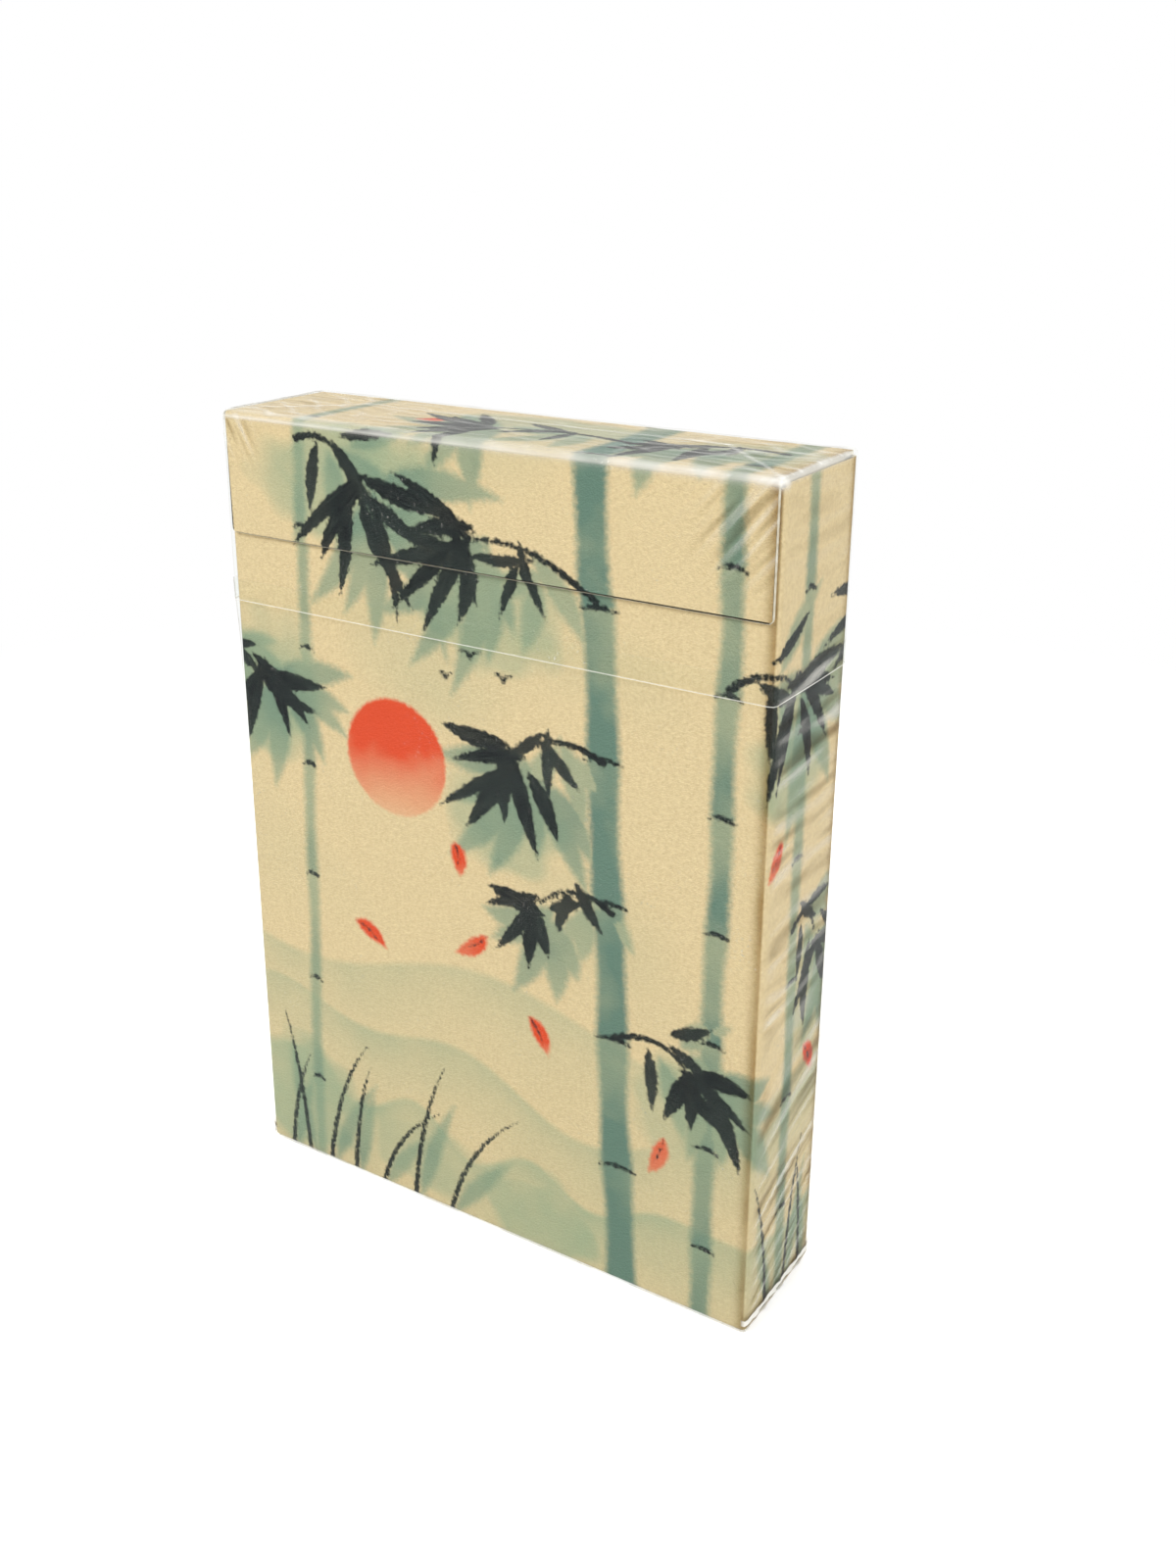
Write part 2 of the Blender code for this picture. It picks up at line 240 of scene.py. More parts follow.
def unrolled(points):
    """Where points on the box lie on the flat print, in mm from the front panel's lower left corner."""
    x, y, z = ((points - np.array([carton_low.x, carton_low.y, carton_low.z])) / MM).T
    w, d = width / MM, depth_y / MM
    right, left, back = x > w - NEAR_PANEL, x < NEAR_PANEL, y > d - NEAR_PANEL
    side = (y > NEAR_PANEL) & ~back
    u = np.where(right & side, w + y, x)
    u = np.where(left & side, -y, u)
    return np.where(back, 2 * w + d - x, u), z


def bent(start, through, end, steps=10):
    """A smooth curve from start to end, pulled towards the middle point."""
    t = np.linspace(0, 1, steps)[:, None]
    start, through, end = (np.array(point, float) for point in (start, through, end))
    return (1 - t) ** 2 * start + 2 * t * (1 - t) * through + t ** 2 * end


strokes = []


def stroke(ink, points, half_widths, tone):
    """Note one brush stroke: its ink, its line in mm, how wide it is along the line, how dark."""
    half = np.interp(np.linspace(0, 1, len(points)), np.linspace(0, 1, len(half_widths)), half_widths)
    strokes.append((ink, np.asarray(points, float), half, tone))


def leaf(ink, base, angle, length, half_width, tone, droop=0.0):
    """A pointed leaf, widest a third of the way along."""
    way = np.array([math.cos(math.radians(angle)), math.sin(math.radians(angle))])
    across = np.array([-way[1], way[0]])
    base = np.array(base, float)
    line = bent(base, base + way * length * 0.5 + across * droop * length, base + way * length, 12)
    stroke(ink, line, half_width * np.array([0.12, 0.75, 1.0, 0.85, 0.5, 0.0]), tone)


def stalk(foot, head, half_width, ink, tone, joint_every):
    """A bamboo stalk: flared lengths with a gap and a dark bracket of ink at each joint."""
    foot, head = np.array(foot, float), np.array(head, float)
    whole = np.linalg.norm(head - foot)
    way = (head - foot) / whole
    across = np.array([-way[1], way[0]])
    lengths = round(whole / joint_every)
    for count in range(lengths):
        low = foot + way * (whole * count / lengths + 0.3)
        high = foot + way * (whole * (count + 1) / lengths - 0.3)
        sway = across * 0.25 * (-1) ** count
        flare = half_width * np.array([1.12, 1.0, 0.94, 1.0, 1.12])
        stroke(ink, bent(low, (low + high) / 2 + sway, high), flare, tone)
        past = across * half_width * 1.25
        bracket = bent(high - past, high + way * 0.75, high + past)
        stroke("ink", bracket, [0.14, 0.26, 0.3, 0.22, 0.1], 0.85 * tone + 0.15)


def spray(chance, base, aim, count, length, half_width, tone):
    """A hanging spray of leaves from one twig: soft green ones behind, dark ones in front."""
    for index in range(count):
        angle = aim + (index - (count - 1) / 2) * 150 / count + chance.uniform(-9, 9)
        size = length * chance.uniform(0.7, 1.15)
        start = (base[0] + chance.uniform(-1.6, 1.6), base[1] + chance.uniform(-1.6, 1.6))
        behind = (start[0] + 1.5, start[1] - 1.0)
        leaf("sage", behind, angle + 14, size * 1.25, half_width * 1.75, 0.62 * tone, 0.10)
        leaf("ink", start, angle, size, half_width * chance.uniform(0.75, 1.1),
             tone * chance.uniform(0.7, 1.0), chance.uniform(-0.12, 0.12))


chance = random.Random(11)
# Stalks: two strong ones on the right of the front, pale ones further off, more round the back
stalk((51, -16), (45, 106), 1.75, "sage", 0.95, 15.5)
stalk((59.5, -16), (61, 106), 1.15, "sage", 0.72, 12.5)
stalk((7, -16), (11, 106), 0.75, "sage", 0.5, 13.5)
stalk((73, -16), (71, 106), 1.0, "sage", 0.6, 14.0)
stalk((-8, -16), (-6, 106), 0.9, "sage", 0.6, 14.0)
stalk((98, -16), (103, 106), 1.75, "sage", 0.9, 15.5)
stalk((112, -16), (109, 106), 1.1, "sage", 0.7, 12.5)
stalk((136, -16), (139, 106), 0.8, "sage", 0.5, 13.5)
# Twigs and their sprays
twigs = [((46.4, 76), (39, 82), (31, 80), 215, 8, 12.0), ((47.3, 60), (41, 63), (37, 58), 240, 7, 11.0),
         ((60.6, 70), (65, 74), (69, 70), 305, 7, 11.0), ((10.2, 88), (15, 90), (18, 84), 285, 7, 13.0),
         ((49, 30), (55, 33), (58, 28), 300, 6, 9.0), ((48.5, 44), (44, 47), (40, 43), 225, 5, 8.0),
         ((71.6, 44), (75, 47), (77, 42), 290, 5, 9.0), ((-7, 64), (-3, 67), (2, 62), 300, 6, 10.0),
         ((101, 72), (94, 77), (89, 73), 235, 8, 12.0), ((101.5, 54), (107, 58), (113, 53), 300, 8, 11.0),
         ((109.6, 84), (117, 87), (124, 83), 310, 8, 12.0), ((138, 62), (132, 66), (128, 61), 240, 6, 10.0),
         ((46, 97), (38, 100), (30, 97), 190, 7, 10.0), ((60.8, 100), (54, 102), (52, 98), 215, 5, 8.0)]
for root, elbow, tip, aim, count, length in twigs:
    stroke("ink", bent(root, elbow, tip), [0.42, 0.34, 0.26, 0.2], 0.85)
    spray(chance, tip, aim, count, length, 1.05, 0.95)
    middle = bent(root, elbow, tip, 3)[1]
    spray(chance, middle, aim + 25, 3, length * 0.75, 0.85, 0.7)
# Grasses in the lower corners: where each stands and how far it leans
grasses = [(3, 4), (6, -3), (9, 7), (13, 3), (17, 9), (22, 5), (27, 10), (70, -4), (74, 3), (78, -2),
           (86, 5), (91, -3), (121, 4), (126, 8), (131, -4), (-4, 3), (-11, -3)]
for foot, lean in grasses:
    rise = chance.uniform(10, 19)
    blade = bent((foot, -2), (foot + 0.2 * lean, rise * 0.6), (foot + lean, rise))
    stroke("ink", blade, [0.36, 0.3, 0.24, 0.05], chance.uniform(0.45, 0.9))
    leaf("sage", (foot + 1, 0), 90 - lean * 4, rise * 0.8, 1.1, 0.5, 0.06)
# Falling leaves in coral, each with a dark rib
falling = [((33, 37), 215, 5.2), ((38.5, 29), 300, 4.6), ((55, 20), 250, 5.0), ((15, 34), 330, 4.8),
           ((68, 55), 235, 4.4), ((76, 29), 300, 4.6), ((29, 47), 280, 3.8), ((92, 44), 240, 5.0),
           ((119, 33), 310, 4.8), ((127, 46), 250, 4.2), ((24, 99), 210, 4.4), ((-9, 40), 300, 4.6)]
for base, angle, length in falling:
    leaf("coral", base, angle, length, 1.0, 0.95, 0.16)
    leaf("ink", base, angle, length * 0.7, 0.12, 0.5, 0.16)
# Three far birds
for left, level, span in [(30, 68.0, 3.0), (34.4, 66.2, 2.4), (27.4, 65.2, 2.0)]:
    body = (left + span / 2, level)
    stroke("ink", bent((left, level + 0.5), (left + span * 0.3, level + 0.9), body), [0.1, 0.24], 0.8)
    stroke("ink", bent(body, (left + span * 0.7, level + 0.9), (left + span, level + 0.6)),
           [0.24, 0.08], 0.8)
# Soft clouds of green behind the leaves: place, half width, half height, strength
CLOUDS = [(17, 84, 13, 7, 0.75), (34, 72, 9, 6, 0.6), (4, 60, 8, 9, 0.7), (36, 51, 8, 6, 0.55),
          (70, 63, 7, 8, 0.65), (58, 24, 8, 7, 0.6), (5, 8, 10, 9, 0.8), (24, 6, 9, 5, 0.6),
          (40, 4, 9, 6, 0.7), (76, 36, 5, 8, 0.55), (34, 100, 14, 5, 0.6), (58, 99, 8, 5, 0.5),
          (91, 68, 10, 9, 0.7), (112, 47, 10, 8, 0.6), (124, 82, 11, 8, 0.65), (131, 58, 8, 8, 0.55),
          (100, 8, 14, 7, 0.7), (128, 6, 12, 6, 0.6), (-9, 20, 7, 12, 0.5)]
# Hills, the far one first: height of the ridge, its rise, its wavelength, its seed, strength
HILLS = [(30, 5, 34, 3, 0.42), (21, 5, 26, 5, 0.6), (11, 4, 22, 9, 0.8)]
# A sun on the front and one on the back: place and radius
SUNS = [(21.5, 55.0, 6.6), (126.0, 74.0, 6.0)]


def swell(u, v, wavelength, seed):
    """A smooth random surface between -1 and 1, made of a few waves."""
    chance = random.Random(seed)
    total = np.zeros_like(u)
    for _ in range(7):
        turn, size = chance.uniform(0, math.pi), wavelength * chance.uniform(0.6, 1.6)
        phase = (u * math.cos(turn) + v * math.sin(turn)) * 2 * math.pi / size
        total += np.cos(phase + chance.uniform(0, 6.28))
    return total / 4.5


def paint(mesh, u, v):
    """Lay the print on a mesh: how deep each vertex lies inside a stroke, in mm, and its tone."""
    deep = {ink: np.full(len(u), -2.0) for ink in ("ink", "sage", "coral")}
    tone = {ink: np.zeros(len(u)) for ink in deep}
    grain = np.zeros((len(u), 3))
    spot = np.stack([u, v], axis=1)
    for number, (ink, line, half, strength) in enumerate(strokes):
        reach = half.max() + 1.5
        low, high = line.min(axis=0) - reach, line.max(axis=0) + reach
        near = np.flatnonzero(((spot > low) & (spot < high)).all(axis=1))
        if not len(near):
            continue
        best = np.full(len(near), -9.0)
        across, along = np.zeros(len(near)), np.zeros(len(near))
        run = 0.0
        for start, end, wide, wide_end in zip(line[:-1], line[1:], half[:-1], half[1:]):
            step = end - start
            length = np.linalg.norm(step)
            offset = spot[near] - start
            t = np.clip(offset @ step / length ** 2, 0, 1)
            gap = np.linalg.norm(offset - t[:, None] * step, axis=1)
            inside = wide + (wide_end - wide) * t - gap
            nearer = inside > best
            best = np.where(nearer, inside, best)
            across = np.where(nearer, (offset[:, 0] * step[1] - offset[:, 1] * step[0]) / length, across)
            along = np.where(nearer, run + t * length, along)
            run += length
        win = best > deep[ink][near]
        hit = near[win]
        deep[ink][hit] = best[win]
        fade = 1.0 - 0.35 * along[win] / run
        tone[ink][hit] = strength * fade
        if ink == "ink":
            grain[hit] = np.stack([across[win], along[win], np.full(len(hit), number * 1.7)], axis=1)
    for across_sun, up_sun, radius in SUNS:
        inside = radius - np.hypot(u - across_sun, v - up_sun)
        win = inside > deep["coral"]
        deep["coral"] = np.where(win, inside, deep["coral"])
        rising = 0.12 + 0.85 * np.clip((v - up_sun + radius) / (1.6 * radius), 0, 1)
        tone["coral"] = np.where(win, rising, tone["coral"])
    wash = np.zeros(len(u))
    for level, rise, wavelength, seed, strength in HILLS:
        below = level + rise * swell(u, np.zeros_like(u), wavelength, seed) - v
        body = strength * np.exp(-np.clip(below, 0, None) / 7.0) * np.clip(below / 0.9 + 0.5, 0, 1)
        wash = np.maximum(wash * np.where(below > 0, 0.8, 1.0), body)
    for across, up, wide, tall, strength in CLOUDS:
        far = np.hypot((u - across) / wide, (v - up) / tall) + 0.16 * swell(u, v, 7, 23)
        wash = np.maximum(wash, strength * np.clip((1.05 - far) / 0.3, 0, 1))
    mist = np.clip(swell(u, v, 38, 21) * 0.8 - 0.15, 0, 1) * np.clip((v - 28) / 30, 0, 1)
    wash = np.maximum(wash, 0.5 * mist)
    # Painted shade: a soft band just before each vertical crease, where the paper is darkened
    creases = np.array([0.0, width, width + depth_y, 2 * width + depth_y]) / MM
    off_crease = u[:, None] - creases
    crease = np.where(off_crease < 0, np.exp(-(off_crease + 0.3) ** 2 / 0.6), 0.0).max(axis=1)
    for name, values in [("crease", crease), ("ink", deep["ink"]), ("ink_tone", tone["ink"]),
                         ("sage", deep["sage"]), ("sage_tone", tone["sage"]), ("coral", deep["coral"]),
                         ("coral_tone", tone["coral"]), ("wash", wash)]:
        mesh.attributes.new(name, "FLOAT", "POINT").data.foreach_set("value", values.astype(np.float32))
    brushed = mesh.attributes.new("grain", "FLOAT_VECTOR", "POINT")
    brushed.data.foreach_set("vector", grain.astype(np.float32).ravel())


PAPER = "#E8D4A9"
PAPER_SHADE = "#D8C297"
SAGE = "#8FA98C"
SAGE_DEEP = "#658375"
BLUE_BLACK = "#090F13"
INK_THIN = "#2A3434"
CORAL = "#E0502E"
CORAL_PALE = "#EA8C64"
# Painted shade beside the creases
PAINTED_CREASE_SHADE = "#B5A384"
PAPER_GRAIN = 0.36 * MM
PAPER_TOOTH = 0.14 * MM
PAPER_RELIEF = 0.13 * MM
CLOUDING = 9 * MM
INK_RAG = 0.5 * MM

# Printed art paper: matt, with a fine felt-marked tooth, and inks that soak in at ragged edges
printed_paper, tree = new_material("printed art paper")
place = node(tree, "TexCoord")
felt = node(tree, "TexNoise", {"Vector": place.outputs["Object"], "Scale": 1 / PAPER_GRAIN, "Detail": 3.0})
tooth = node(tree, "TexNoise", {"Vector": place.outputs["Object"], "Scale": 1 / PAPER_TOOTH, "Detail": 2.0})
clouds = node(tree, "TexNoise", {"Vector": place.outputs["Object"], "Scale": 1 / CLOUDING, "Detail": 5.0})
rag = node(tree, "TexNoise", {"Vector": place.outputs["Object"], "Scale": 1 / INK_RAG, "Detail": 4.0})
fleck = node(tree, "MapRange", {0: felt.outputs[0], 1: 0.3, 2: 0.75})
colour = node(tree, "Mix", {"Factor": fleck.outputs[0], "A": linear(PAPER), "B": linear(PAPER_SHADE)},
              data_type="RGBA")
wash = node(tree, "Attribute", attribute_name="wash")
cloudy = node(tree, "MapRange", {0: clouds.outputs[0], 1: 0.25, 2: 0.75, 3: 0.55, 4: 1.15})
wash = node(tree, "Math", {0: wash.outputs["Fac"], 1: cloudy.outputs[0]}, operation="MULTIPLY",
            use_clamp=True)
colour = node(tree, "Mix", {"Factor": wash.outputs[0], "A": colour.outputs["Result"], "B": linear(SAGE)},
              data_type="RGBA")
# Each ink: how far it bleeds past its edge and how ragged that edge is, both in mm, its thin and its
# full colour, and how much the thinnest of it covers
INKS = [("sage", 0.6, 0.5, SAGE, SAGE_DEEP, 0.45), ("coral", 0.3, 0.4, CORAL_PALE, CORAL, 0.3),
        ("ink", 0.16, 0.5, INK_THIN, BLUE_BLACK, 0.95)]
for ink, bleed, ragged, thin, full, least in INKS:
    inside = node(tree, "Attribute", attribute_name=ink)
    strength = node(tree, "Attribute", attribute_name=ink + "_tone")
    jitter = node(tree, "MapRange", {0: rag.outputs[0], 1: 0.2, 2: 0.8, 3: -ragged / 2, 4: ragged / 2})
    inside = node(tree, "Math", {0: inside.outputs["Fac"], 1: jitter.outputs[0]}, operation="ADD")
    mask = node(tree, "MapRange", {0: inside.outputs[0], 1: -bleed, 2: bleed},
                interpolation_type="SMOOTHSTEP")
    pool = node(tree, "MapRange", {0: clouds.outputs[0], 1: 0.3, 2: 0.7, 3: 0.85, 4: 1.6})
    amount = node(tree, "Math", {0: strength.outputs["Fac"], 1: pool.outputs[0]}, operation="MULTIPLY",
                  use_clamp=True)
    if ink == "ink":
        # The brush's hairs leave streaks along the stroke where it runs dry
        grain = node(tree, "Attribute", attribute_name="grain")
        drag = node(tree, "VectorMath", {0: grain.outputs["Vector"], 1: (7.0, 0.5, 1.0)},
                    operation="MULTIPLY")
        hairs = node(tree, "TexNoise", {"Vector": drag.outputs[0], "Scale": 1.0, "Detail": 2.0})
        dry = node(tree, "MapRange", {0: hairs.outputs[0], 1: 0.42, 2: 0.66, 3: 1.0, 4: 0.4})
        amount = node(tree, "Math", {0: amount.outputs[0], 1: dry.outputs[0]}, operation="MULTIPLY")
    pigment = node(tree, "Mix", {"Factor": amount.outputs[0], "A": linear(thin), "B": linear(full)},
                   data_type="RGBA")
    cover = node(tree, "MapRange", {0: amount.outputs[0], 3: least, 4: 1.0})
    cover = node(tree, "Math", {0: mask.outputs[0], 1: cover.outputs[0]}, operation="MULTIPLY")
    colour = node(tree, "Mix", {"Factor": cover.outputs[0], "A": colour.outputs["Result"],
                                "B": pigment.outputs["Result"]}, data_type="RGBA")
# Painted shade: a brown darkening of the paper just before each vertical crease
crease = node(tree, "Attribute", attribute_name="crease")
painted_crease_shade = node(tree, "Math", {0: crease.outputs["Fac"], 1: cloudy.outputs[0]}, operation="MULTIPLY",
               use_clamp=True)
colour = node(tree, "Mix", {"Factor": painted_crease_shade.outputs[0], "A": colour.outputs["Result"],
                            "B": linear(PAINTED_CREASE_SHADE)}, data_type="RGBA", blend_type="MULTIPLY")
emboss = node(tree, "Math", {0: felt.outputs[0], 1: tooth.outputs[0]}, operation="ADD")
relief = node(tree, "Bump", {"Height": emboss.outputs[0], "Strength": 0.9, "Distance": PAPER_RELIEF})
shader = node(tree, "BsdfPrincipled", {"Base Color": colour.outputs["Result"], "Roughness": 0.6,
                                       "Specular IOR Level": 0.12, "Normal": relief.outputs[0]})
node(tree, "OutputMaterial", {"Surface": shader.outputs[0]})


def printed_sheet(name, body, low, high, sides, spacing, core_low, core_high, trims=None, corner=None):
    """Model the printed face on some sides of a box, paint it and hang it on its body."""
    bm = box_sides(low, high, sides)
    if trims:
        trim(bm, *trims)
    planes = [(axis, low[axis] if SIDES[side][axis] < 0 else high[axis])
              for side in sides for axis in range(3) if SIDES[side][axis]]
    back_with_board(bm, PRINT_DEPTH)
    cut_fine(bm, spacing, lambda co: any(abs(co[axis] - level) < PRINT_DEPTH / 4 for axis, level in planes))
    mesh = bpy.data.meshes.new(name)
    bm.to_mesh(mesh)
    bm.free()
    flat = mesh_points(mesh)
    u, v = unrolled(flat)
    if "top" in sides:
        on_top = (flat[:, 2] > high.z - PRINT_DEPTH / 2) | (flat[:, 1] > high.y - PRINT_DEPTH / 2)
        u = np.where(on_top, (flat[:, 0] - carton_low.x) / MM, u)
        v = np.where(on_top, height / MM + (flat[:, 1] - low.y) / MM, v)
    if "bottom" in sides:
        v = -(flat[:, 1] - low.y) / MM
    if corner:
        flat = corner(flat)
    points, _ = rounded(flat, np.array(core_low), np.array(core_high))
    mesh.vertices.foreach_set("co", points.ravel())
    mesh.shade_smooth()
    mesh.set_sharp_from_angle(angle=math.radians(50))
    paint(mesh, u, v)
    piece = bpy.data.objects.new(name, mesh)
    bpy.context.scene.collection.objects.link(piece)
    show(piece, printed_paper)
    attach(piece, body)


FAR = 1.0
LIP_SETBACK = 0.08 * MM

flap_low, flap_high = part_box("dust_flap_left")
board = flap_high.z - flap_low.z
lid_under = lid_high.z - board
print_radius = CREASE_RADIUS + PRINT_PROUD
print_low = carton_low - Vector((PRINT_PROUD,) * 3)
print_high = Vector((carton_high.x + PRINT_PROUD, carton_high.y + PRINT_PROUD,
                     flap_high.z - PRINT_BELOW_CUT))
core_low = print_low + Vector((print_radius,) * 3)
core_high = Vector((print_high.x - print_radius, print_high.y - print_radius, FAR))
# The front panel ends below the lid's fold; the sides run on up over the dust flaps' creases
front_top = lid_under - CREASE_RADIUS - PRINT_BELOW_CUT
lip_start = print_low.y + LIP_SETBACK
below_fold = ([(2, front_top), (2, front_top + 2 * PRINT_BELOW_CUT), (1, lip_start), (1, core_low.y),
               (1, core_high.y)], lambda middle: middle.z > front_top and middle.y < lip_start)


def thin_lip(points):
    """Above the dust flaps' creases the sides' print is only as thick as its paper."""
    points = points.copy()
    lip = points[:, 2] > front_top + PRINT_PROUD
    inner = carton_high.x + PRINT_PROUD / 3
    points[lip, 0] = np.sign(points[lip, 0]) * np.maximum(np.abs(points[lip, 0]), inner)
    return points


printed_sheet("carton_print_front", "box", print_low, print_high, ("left", "front", "right"), FRONT_MESH,
              core_low, core_high, below_fold, thin_lip)
printed_sheet("carton_print_back", "box", print_low, print_high, ("back",), BACK_MESH,
              core_low, core_high)
printed_sheet("carton_print_bottom", "box", print_low, print_high, ("bottom",), BACK_MESH,
              core_low, core_high)


# The dust flaps: part of the same blank, folded in over the cards from the tops of the side walls.
# Their outer face has the paper, left without a picture, and their cut edges show the board.

FLAP_RELIEF = 0.04 * MM

# Plain art paper on board: the same felt-marked paper outside, pulp on the inner face and the cut edges
flap_paper, tree = new_material("plain art paper on board")
place = node(tree, "TexCoord")
felt = node(tree, "TexNoise", {"Vector": place.outputs["Object"], "Scale": 1 / PAPER_GRAIN, "Detail": 3.0})
fleck = node(tree, "MapRange", {0: felt.outputs[0], 1: 0.3, 2: 0.75})
paper = node(tree, "Mix", {"Factor": fleck.outputs[0], "A": linear(PAPER), "B": linear(PAPER_SHADE)},
             data_type="RGBA")
pulp = node(tree, "Mix", {"Factor": fleck.outputs[0], "A": linear(RAW_BOARD), "B": linear(RAW_BOARD_SHADE)},
            data_type="RGBA")
facing = node(tree, "SeparateXYZ", {0: place.outputs["Normal"]})
outside = node(tree, "Math", {0: facing.outputs["Z"], 1: 0.5}, operation="GREATER_THAN")
colour = node(tree, "Mix", {"Factor": outside.outputs[0], "A": pulp.outputs["Result"],
                            "B": paper.outputs["Result"]}, data_type="RGBA")
relief = node(tree, "Bump", {"Height": felt.outputs[0], "Strength": 0.4, "Distance": FLAP_RELIEF})
shader = node(tree, "BsdfPrincipled", {"Base Color": colour.outputs["Result"], "Roughness": 0.7,
                                       "Normal": relief.outputs[0]})
node(tree, "OutputMaterial", {"Surface": shader.outputs[0]})
for side in ("left", "right"):
    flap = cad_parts["dust_flap_" + side]
    show(flap, flap_paper)


# The lid: top panel and front flap of the blank, folded over the front panel from the back crease.
# Board inside, with the same paper outside; its cut edges show as thin white lines.

LID_MESH = 0.32 * MM
LID_CORNER = 0.5 * MM

show(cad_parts["lid"], raw_board)
sheet_low = Vector((lid_low.x + PRINT_BELOW_CUT, lid_low.y - PRINT_PROUD, lid_low.z + PRINT_BELOW_CUT))
sheet_high = Vector((lid_high.x - PRINT_BELOW_CUT, lid_high.y + PRINT_PROUD, lid_high.z + PRINT_PROUD))


def cut_corners(points):
    """Round off the two lower corners of the front flap."""
    low = points[:, 2] < sheet_low.z + LID_CORNER
    flat = points[low][:, [0, 2]]
    turned, _ = rounded(flat, np.array([sheet_low.x + LID_CORNER, sheet_low.z + LID_CORNER]),
                        np.array([sheet_high.x - LID_CORNER, FAR]))
    points = points.copy()
    points[np.ix_(low, [0, 2])] = turned
    return points


# Behind, the paper turns down over the hinge crease, as far as the board is thick
rear_edge = lid_under + PRINT_BELOW_CUT
over_rear = ([(2, rear_edge)], lambda middle: middle.z < rear_edge and middle.y > 0)
printed_sheet("lid_print", "lid", sheet_low, sheet_high, ("front", "top", "back"), LID_MESH,
              (-FAR, sheet_low.y + print_radius, -FAR), (FAR, FAR, sheet_high.z - print_radius),
              over_rear, cut_corners)


# The film: clear oriented polypropylene wrapped round the carton, sealed, and folded like an envelope
# over both ends.  It shrinks tight, so it pulls into diagonal wrinkles on the narrow sides.

SLEEVE_MESH = 0.6 * MM
CAP_MESH = 0.32 * MM
FILM_THICKNESS = 0.04 * MM
FILM_EDGE = 0.5 * MM
FILM_RIPPLE = 6 * MM
FILM_RIPPLE_DEPTH = 0.3 * MM
FILM_SCUFF = 0.3 * MM
# Through colours, clear and tinted by painted shade, and a milky colour that also carries painted
# highlights
FILM_CLEAR = "#FDFEFD"
FILM_SHADED = "#B3A892"
FILM_MILK_AND_HIGHLIGHT = "#FBFAF4"
FILM_GLOSS = 0.006
FILM_GLOSS_EDGE_ON = 0.28
FILM_EDGE_SHADE = 0.3
# Limits of the film's marks: below zero painted shade, above it milkiness and painted highlight
DEEPEST_PAINTED_SHADE, FULLEST_MILK_AND_HIGHLIGHT = -0.8, 0.95
WRAP_INSET = 0.05 * MM
FOOT_INSET = 0.06 * MM
TEAR_GAP = 0.1 * MM
NEAR_TOP = 0.2 * MM
NEAR_FOOT = 0.02 * MM
HUG = 0.38 * MM
HUG_LENGTH = 8 * MM
# Wrinkles, in mm
WRINKLE_WIDTH = 2.3
WRINKLE_LENGTH = 15.0
WRINKLE_FLANK = 0.25
WRINKLE_FADE = 1.5
PLEAT_SPACING = 3.6
PLEAT_RISE = 0.16
FILM_WAVE = 0.02
END_CRINKLE = 0.09
STEEP_BELOW, STEEP_REACH = 34.0, 30.0
LEVEL_SLOPE, ADDED_SLOPE = 0.05, 0.5
TIGHT_ABOVE_TAPE = 0.2
# On the top they are crinkles: how much finer, how far they sway, and how much shorter
TOP_FINER, TOP_SWAY, TOP_SHORTER = 2.0, 1.2, 2.5
# Folds and seams, in mm
FOLD_REACH = 11.0
FOLD_LINE = 0.3
SEAM_WIDTH = 6.0
SEAM_LINE = 0.2
# The turned-in foot of each narrow side: heights, and the film's mark at each, a painted shadow at the
# foot, a milky band with painted highlight, and a line of painted shade above it
FOOT_LINE = [0.95 * MM, 1.05 * MM, 1.65 * MM, 1.8 * MM, 2.6 * MM]
FOOT_MARK = [DEEPEST_PAINTED_SHADE, FULLEST_MILK_AND_HIGHLIGHT, FULLEST_MILK_AND_HIGHLIGHT, -0.55, 0.0]

sleeve_low, sleeve_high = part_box("film_sleeve")
cap_low, cap_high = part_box("film_cap")
tape_top = cap_low.z - TEAR_GAP
rear_cut = cap_high.y + TEAR_GAP

# Clear film: seen through, glossy, milky where it is folded, and drawn into fine wrinkles shown as painted
# highlight and painted shade
clear_film, tree = new_material("clear polypropylene film")
place = node(tree, "TexCoord")
ripple = node(tree, "TexNoise", {"Vector": place.outputs["Object"], "Scale": 1 / FILM_RIPPLE,
                                 "Detail": 3.0})
relief = node(tree, "Bump", {"Height": ripple.outputs[0], "Strength": 0.12, "Distance": FILM_RIPPLE_DEPTH})
# A wrinkle lies along the pull; one flank of it gets a painted highlight, and the other a painted shade
# over the print
pull = node(tree, "Attribute", attribute_name="pull")
flanks = []
for shift in (WRINKLE_FLANK, -WRINKLE_FLANK):
    spot = node(tree, "VectorMath", {0: pull.outputs["Vector"], 2: (shift, 0.0, 0.0),
                                     1: (1 / WRINKLE_WIDTH, 1 / WRINKLE_LENGTH, 0.0)},
                operation="MULTIPLY_ADD")
    flanks.append(node(tree, "TexNoise", {"Vector": spot.outputs[0], "Scale": 1.0, "Detail": 1.2}))
slope = node(tree, "Math", {0: flanks[0].outputs[0], 1: flanks[1].outputs[0]}, operation="SUBTRACT")
strength = node(tree, "SeparateXYZ", {0: pull.outputs["Vector"]})
painted_highlight_flank = node(tree, "MapRange", {0: slope.outputs[0], 1: 0.02, 2: 0.27, 4: 0.46})
painted_highlight_flank = node(tree, "Math", {0: painted_highlight_flank.outputs[0], 1: strength.outputs["Z"]},
                   operation="MULTIPLY")
painted_shade_flank = node(tree, "MapRange", {0: slope.outputs[0], 1: -0.02, 2: -0.27, 4: 0.85})
painted_shade_flank = node(tree, "Math", {0: painted_shade_flank.outputs[0], 1: strength.outputs["Z"]},
                  operation="MULTIPLY")
